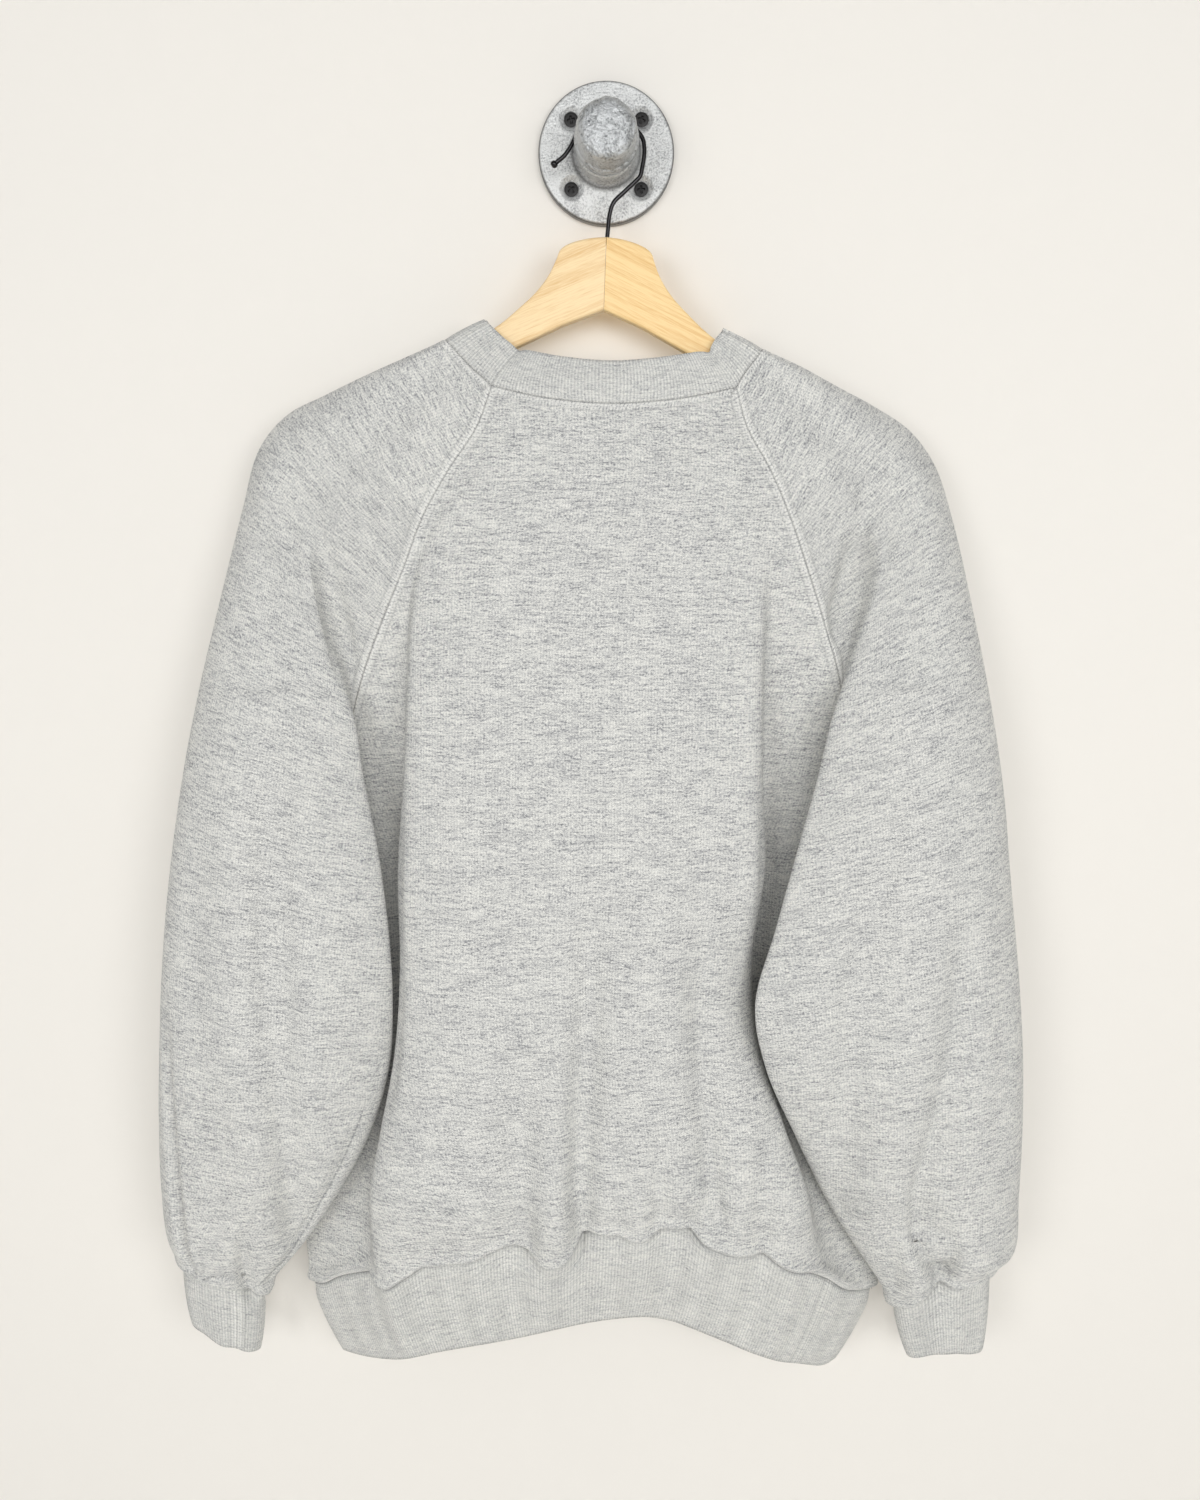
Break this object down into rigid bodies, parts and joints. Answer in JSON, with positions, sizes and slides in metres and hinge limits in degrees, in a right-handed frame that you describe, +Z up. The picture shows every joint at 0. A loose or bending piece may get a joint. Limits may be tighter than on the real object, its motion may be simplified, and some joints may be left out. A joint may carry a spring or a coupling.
{
  "type": "crewneck sweatshirt on a wooden hanger and pipe-flange wall hook",
  "caption": "Heather grey raglan crewneck sweatshirt, seen from the back, on a flat wooden hanger whose wire hook hangs from a capped pipe stub on a screwed wall flange.",
  "frame": {"origin": "middle of the flange's back face, on the wall", "axes": "+Z up, +Y into the wall, -Y towards the viewer who sees the back of the garment, +X to that viewer's right"},
  "size_m": [0.6109, 0.0963, 0.8989],
  "materials": {
    "fleece": "matt heather grey fleece with a fine jersey face",
    "rib_knit": "matt heather grey rib knit",
    "hanger_wood": "pale wood, satin clear coat",
    "hook_steel": "dark polished wire",
    "galvanized_iron": "galvanized, mottled satin",
    "screw_black": "black oxide"
  },
  "bodies": {
    "root": {"back": "fleece", "front": "fleece", "sleeve_left": "fleece", "sleeve_right": "fleece", "collar": "rib_knit", "hem_band": "rib_knit", "cuff_left": "rib_knit", "cuff_right": "rib_knit", "hanger_left": "hanger_wood", "hanger_right": "hanger_wood", "hanger_hook": "hook_steel", "wall_flange": "galvanized_iron", "pipe_nipple": "galvanized_iron", "pipe_cap": "galvanized_iron", "screw_top_left": "screw_black", "screw_top_right": "screw_black", "screw_bottom_left": "screw_black", "screw_bottom_right": "screw_black"}
  },
  "joints": []
}
